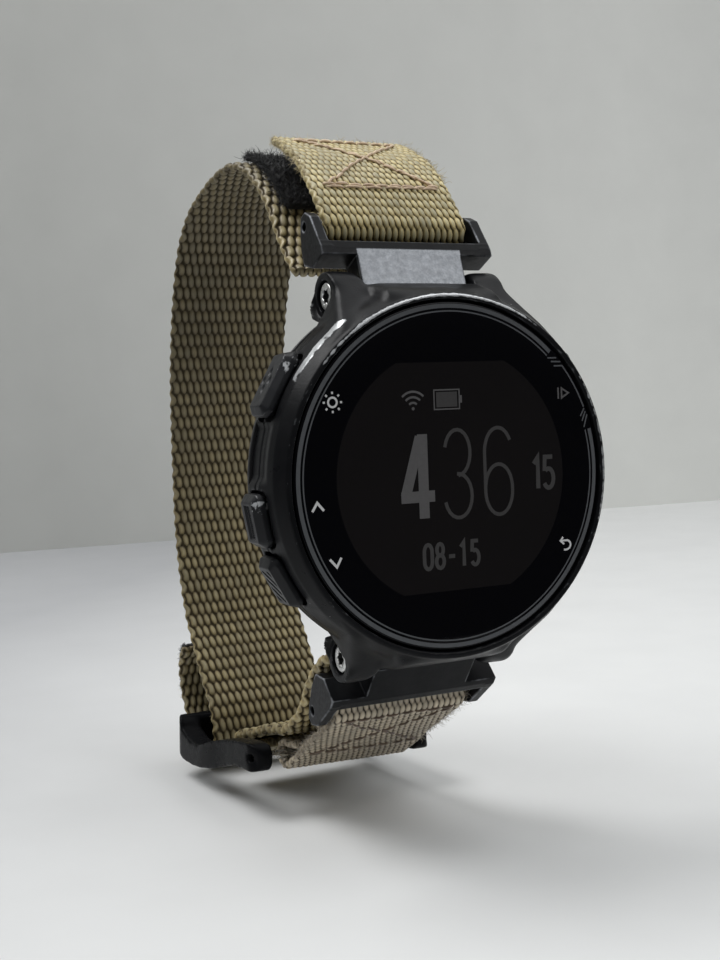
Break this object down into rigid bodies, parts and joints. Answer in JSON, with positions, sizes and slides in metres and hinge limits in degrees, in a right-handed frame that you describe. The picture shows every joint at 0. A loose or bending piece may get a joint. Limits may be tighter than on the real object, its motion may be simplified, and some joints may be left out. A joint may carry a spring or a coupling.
{
  "type": "gps running watch",
  "caption": "Round sports watch with a dark display, side buttons, hinged strap adapters and a closed woven hook-and-loop strap threaded through a loop buckle.",
  "frame": {"origin": "centre of the flat sensor window on the back of the case, which rests on the wrist", "axes": "+X points to 3 o'clock and is the left-right width, +Y points backwards from the dial into the wrist, +Z points to 12 o'clock"},
  "size_m": [0.0479, 0.0726, 0.0948],
  "materials": {
    "case_black": "fine satin moulding, worn bright at the edges",
    "cover_black": "matte moulding",
    "mineral_glass": "polished, with a printed black border",
    "display": "reflective panel behind the lens",
    "silicone": "matte",
    "foil": "dull foil",
    "frame_grey": "moulded",
    "circuit_board": "solder mask",
    "tinned_steel": "tinned",
    "ceramic": "matte",
    "steel": "turned stainless steel",
    "gold_plate": "gold plated",
    "button_black": "satin, worn on the edges",
    "adapter_black": "black coated metal, worn to grey on the upper tongue",
    "buckle_black": "satin black",
    "khaki_webbing": "woven nylon webbing",
    "hook_tape": "hook and loop tape"
  },
  "bodies": {
    "case": {"front_case": "case_black", "lens": "mineral_glass", "lens_gasket": "silicone", "display_panel": "display", "backlight_plate": "foil", "inner_frame": "frame_grey", "main_board": "circuit_board", "processor_shield": "tinned_steel", "gps_antenna": "ceramic", "battery": "foil", "vibration_motor": "steel", "beeper": "gold_plate", "sensor_board": "circuit_board", "sensor_window": "mineral_glass", "rear_cover": "cover_black", "rear_gasket": "silicone", "charge_contact_1": "gold_plate", "charge_contact_2": "gold_plate", "charge_contact_3": "gold_plate", "charge_contact_4": "gold_plate", "cover_screw_1": "steel", "cover_screw_2": "steel", "cover_screw_3": "steel", "cover_screw_4": "steel", "button_seal_start": "silicone", "switch_start": "tinned_steel", "button_seal_back": "silicone", "switch_back": "tinned_steel", "button_seal_light": "silicone", "switch_light": "tinned_steel", "button_seal_up": "silicone", "switch_up": "tinned_steel", "button_seal_down": "silicone", "switch_down": "tinned_steel", "lug_pin_top": "steel", "lug_screw_top_left": "steel", "lug_screw_top_right": "steel", "lug_pin_bottom": "steel", "lug_screw_bottom_left": "steel", "lug_screw_bottom_right": "steel"},
    "top_adapter": {"strap_adapter_top": "adapter_black", "spring_bar_top": "steel"},
    "long_strap": {"long_strap": "khaki_webbing", "bar_loop_top": "khaki_webbing", "hook_tape_top": "hook_tape", "hook_patch_tail": "hook_tape"},
    "bottom_adapter": {"strap_adapter_bottom": "adapter_black", "spring_bar_bottom": "steel"},
    "short_strap": {"short_strap": "khaki_webbing", "bar_loop_bottom": "khaki_webbing"},
    "buckle": {"buckle_frame": "buckle_black", "buckle_pin": "steel"},
    "button_start": {"button_start": "button_black"},
    "button_back": {"button_back": "button_black"},
    "button_light": {"button_light": "button_black"},
    "button_up": {"button_up": "button_black"},
    "button_down": {"button_down": "button_black"}
  },
  "joints": [
    {"name": "press_start", "type": "slide", "parent": "case", "child": "button_start", "axis": [-0.866, 0, -0.5], "range_m": [0, 0.00045], "stiffness_N_per_m": 4000},
    {"name": "press_back", "type": "slide", "parent": "case", "child": "button_back", "axis": [-0.866, 0, 0.5], "range_m": [0, 0.00045], "stiffness_N_per_m": 4000},
    {"name": "press_light", "type": "slide", "parent": "case", "child": "button_light", "axis": [0.866, 0, -0.5], "range_m": [0, 0.00045], "stiffness_N_per_m": 4000},
    {"name": "press_up", "type": "slide", "parent": "case", "child": "button_up", "axis": [0.9854, 0, 0.1702], "range_m": [0, 0.00045], "stiffness_N_per_m": 4000},
    {"name": "press_down", "type": "slide", "parent": "case", "child": "button_down", "axis": [0.8746, 0, 0.4848], "range_m": [0, 0.00045], "stiffness_N_per_m": 4000},
    {"name": "top_adapter_hinge", "type": "hinge", "parent": "case", "child": "top_adapter", "pos_m": [0, -0.00175, 0.0223], "axis": [1, 0, 0], "range_deg": [-3, 3]},
    {"name": "top_bar_hinge", "type": "hinge", "parent": "top_adapter", "child": "long_strap", "pos_m": [0, 0.00317, 0.0314], "axis": [1, 0, 0], "range_deg": [-3.2, 3.2]},
    {"name": "bottom_adapter_hinge", "type": "hinge", "parent": "case", "child": "bottom_adapter", "pos_m": [0, -0.00175, -0.0223], "axis": [1, 0, 0], "range_deg": [-2, 3]},
    {"name": "bottom_bar_hinge", "type": "hinge", "parent": "bottom_adapter", "child": "short_strap", "pos_m": [0, 0.00689, -0.03059], "axis": [1, 0, 0], "range_deg": [-3.2, 2.2]},
    {"name": "buckle_hinge", "type": "hinge", "parent": "short_strap", "child": "buckle", "pos_m": [-0.0005, 0.0239, -0.0409], "axis": [0.9978, 0.0523, -0.0419], "range_deg": [-1, 2]}
  ],
  "couplings": [
    {"joint": "top_bar_hinge", "follows": "top_adapter_hinge", "ratio": -1},
    {"joint": "bottom_bar_hinge", "follows": "bottom_adapter_hinge", "ratio": -1}
  ]
}
